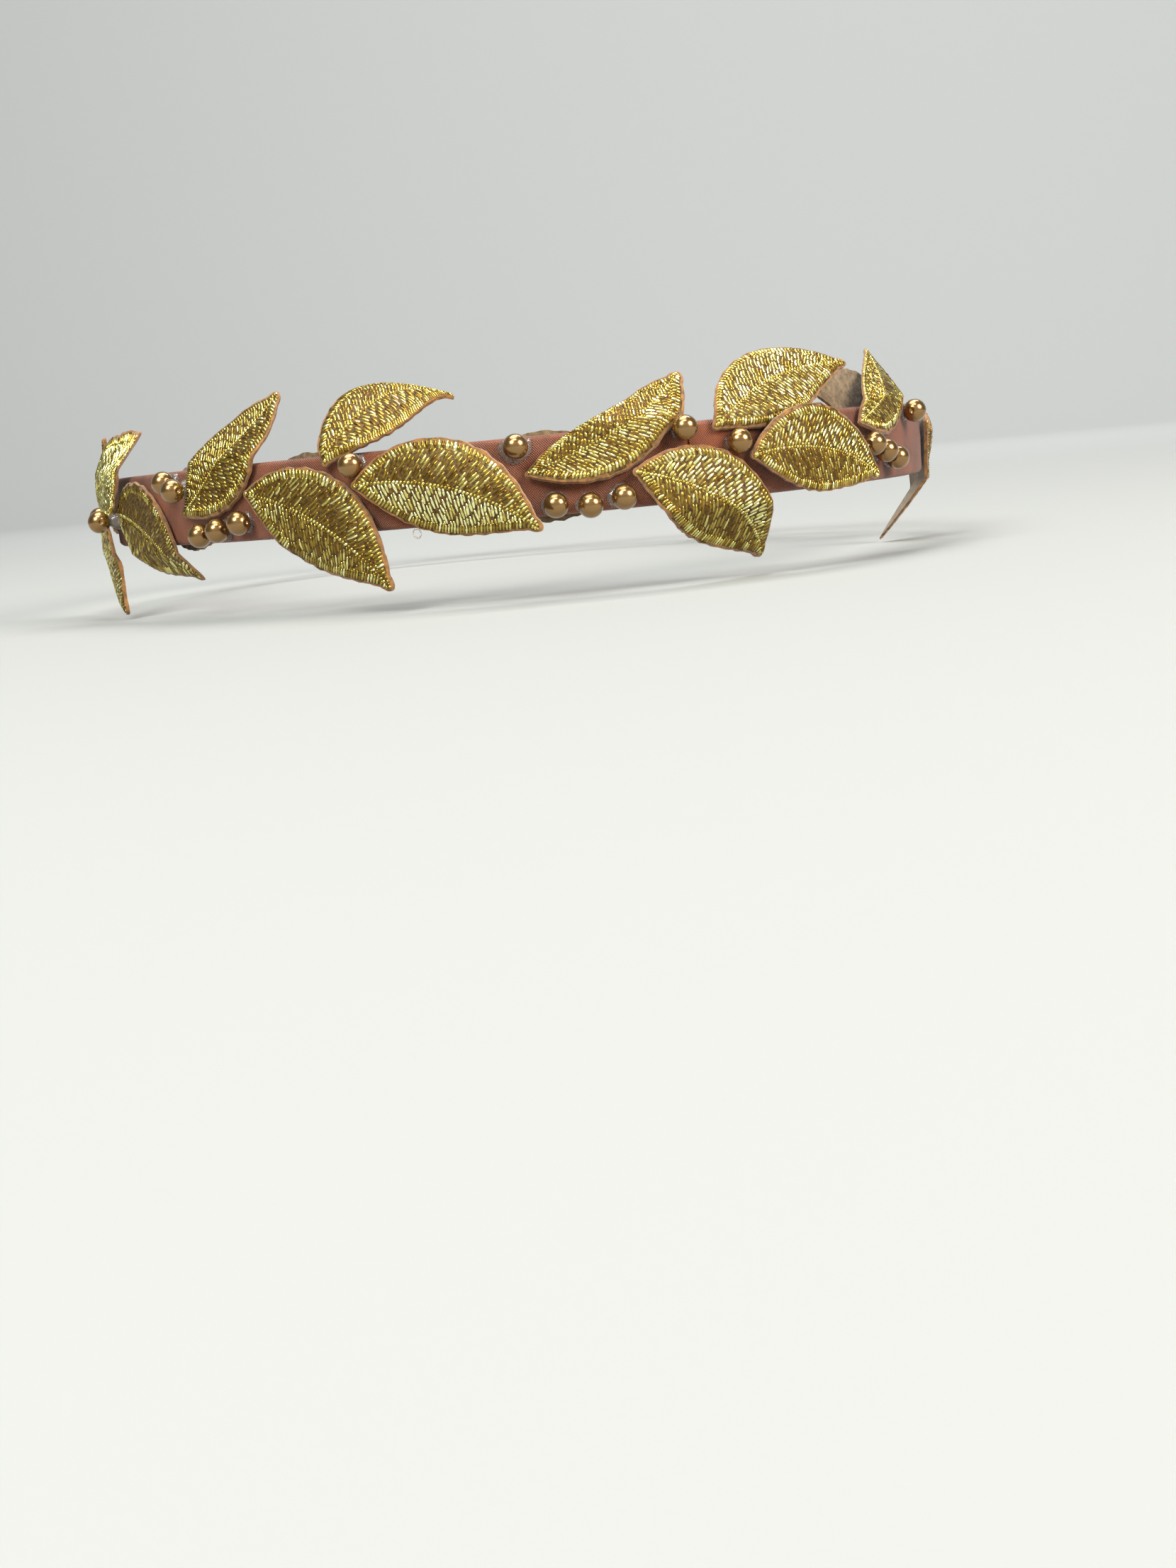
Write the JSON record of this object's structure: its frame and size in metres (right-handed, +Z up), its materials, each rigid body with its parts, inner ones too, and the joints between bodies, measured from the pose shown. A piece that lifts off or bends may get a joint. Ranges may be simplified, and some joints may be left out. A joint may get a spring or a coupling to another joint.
{
  "type": "laurel wreath crown",
  "caption": "Laurel wreath crown: a ribbon-covered head band with gold embroidered leaves and bronze pearl beads glued round its front and sides.",
  "frame": {"origin": "on the surface that the crown rests on, under the middle of the crown's bounding box", "axes": "+Z up through the head opening, the wearer's face toward -Y, the wearer's left toward +X"},
  "size_m": [0.1986, 0.2154, 0.0443],
  "materials": {
    "satin_ribbon": "copper satin ribbon with a soft sheen",
    "gold_embroidery": "metallic gold fill stitch on felt, glittering",
    "felt_backing": "gold stitched edge on felt, dull from behind",
    "bronze_pearl": "pearl lacquer, mirror-like"
  },
  "bodies": {
    "root": {"band": "satin_ribbon", "leaf_01": "gold_embroidery", "leaf_02": "gold_embroidery", "leaf_03": "gold_embroidery", "leaf_04": "gold_embroidery", "leaf_05": "gold_embroidery", "leaf_06": "gold_embroidery", "leaf_07": "gold_embroidery", "leaf_08": "gold_embroidery", "leaf_09": "gold_embroidery", "leaf_10": "gold_embroidery", "leaf_11": "gold_embroidery", "leaf_12": "gold_embroidery", "leaf_13": "gold_embroidery", "leaf_14": "gold_embroidery", "leaf_15": "gold_embroidery", "leaf_16": "gold_embroidery", "leaf_17": "gold_embroidery", "leaf_18": "gold_embroidery", "inner_leaf_1": "felt_backing", "inner_leaf_2": "felt_backing", "inner_leaf_3": "felt_backing", "inner_leaf_4": "felt_backing", "inner_leaf_5": "felt_backing", "bead_01": "bronze_pearl", "bead_02": "bronze_pearl", "bead_03": "bronze_pearl", "bead_04": "bronze_pearl", "bead_05": "bronze_pearl", "bead_06": "bronze_pearl", "bead_07": "bronze_pearl", "bead_08": "bronze_pearl", "bead_09": "bronze_pearl", "bead_10": "bronze_pearl", "bead_11": "bronze_pearl", "bead_12": "bronze_pearl", "bead_13": "bronze_pearl", "bead_14": "bronze_pearl", "bead_15": "bronze_pearl", "bead_16": "bronze_pearl", "bead_17": "bronze_pearl", "bead_18": "bronze_pearl", "bead_19": "bronze_pearl"}
  },
  "joints": []
}
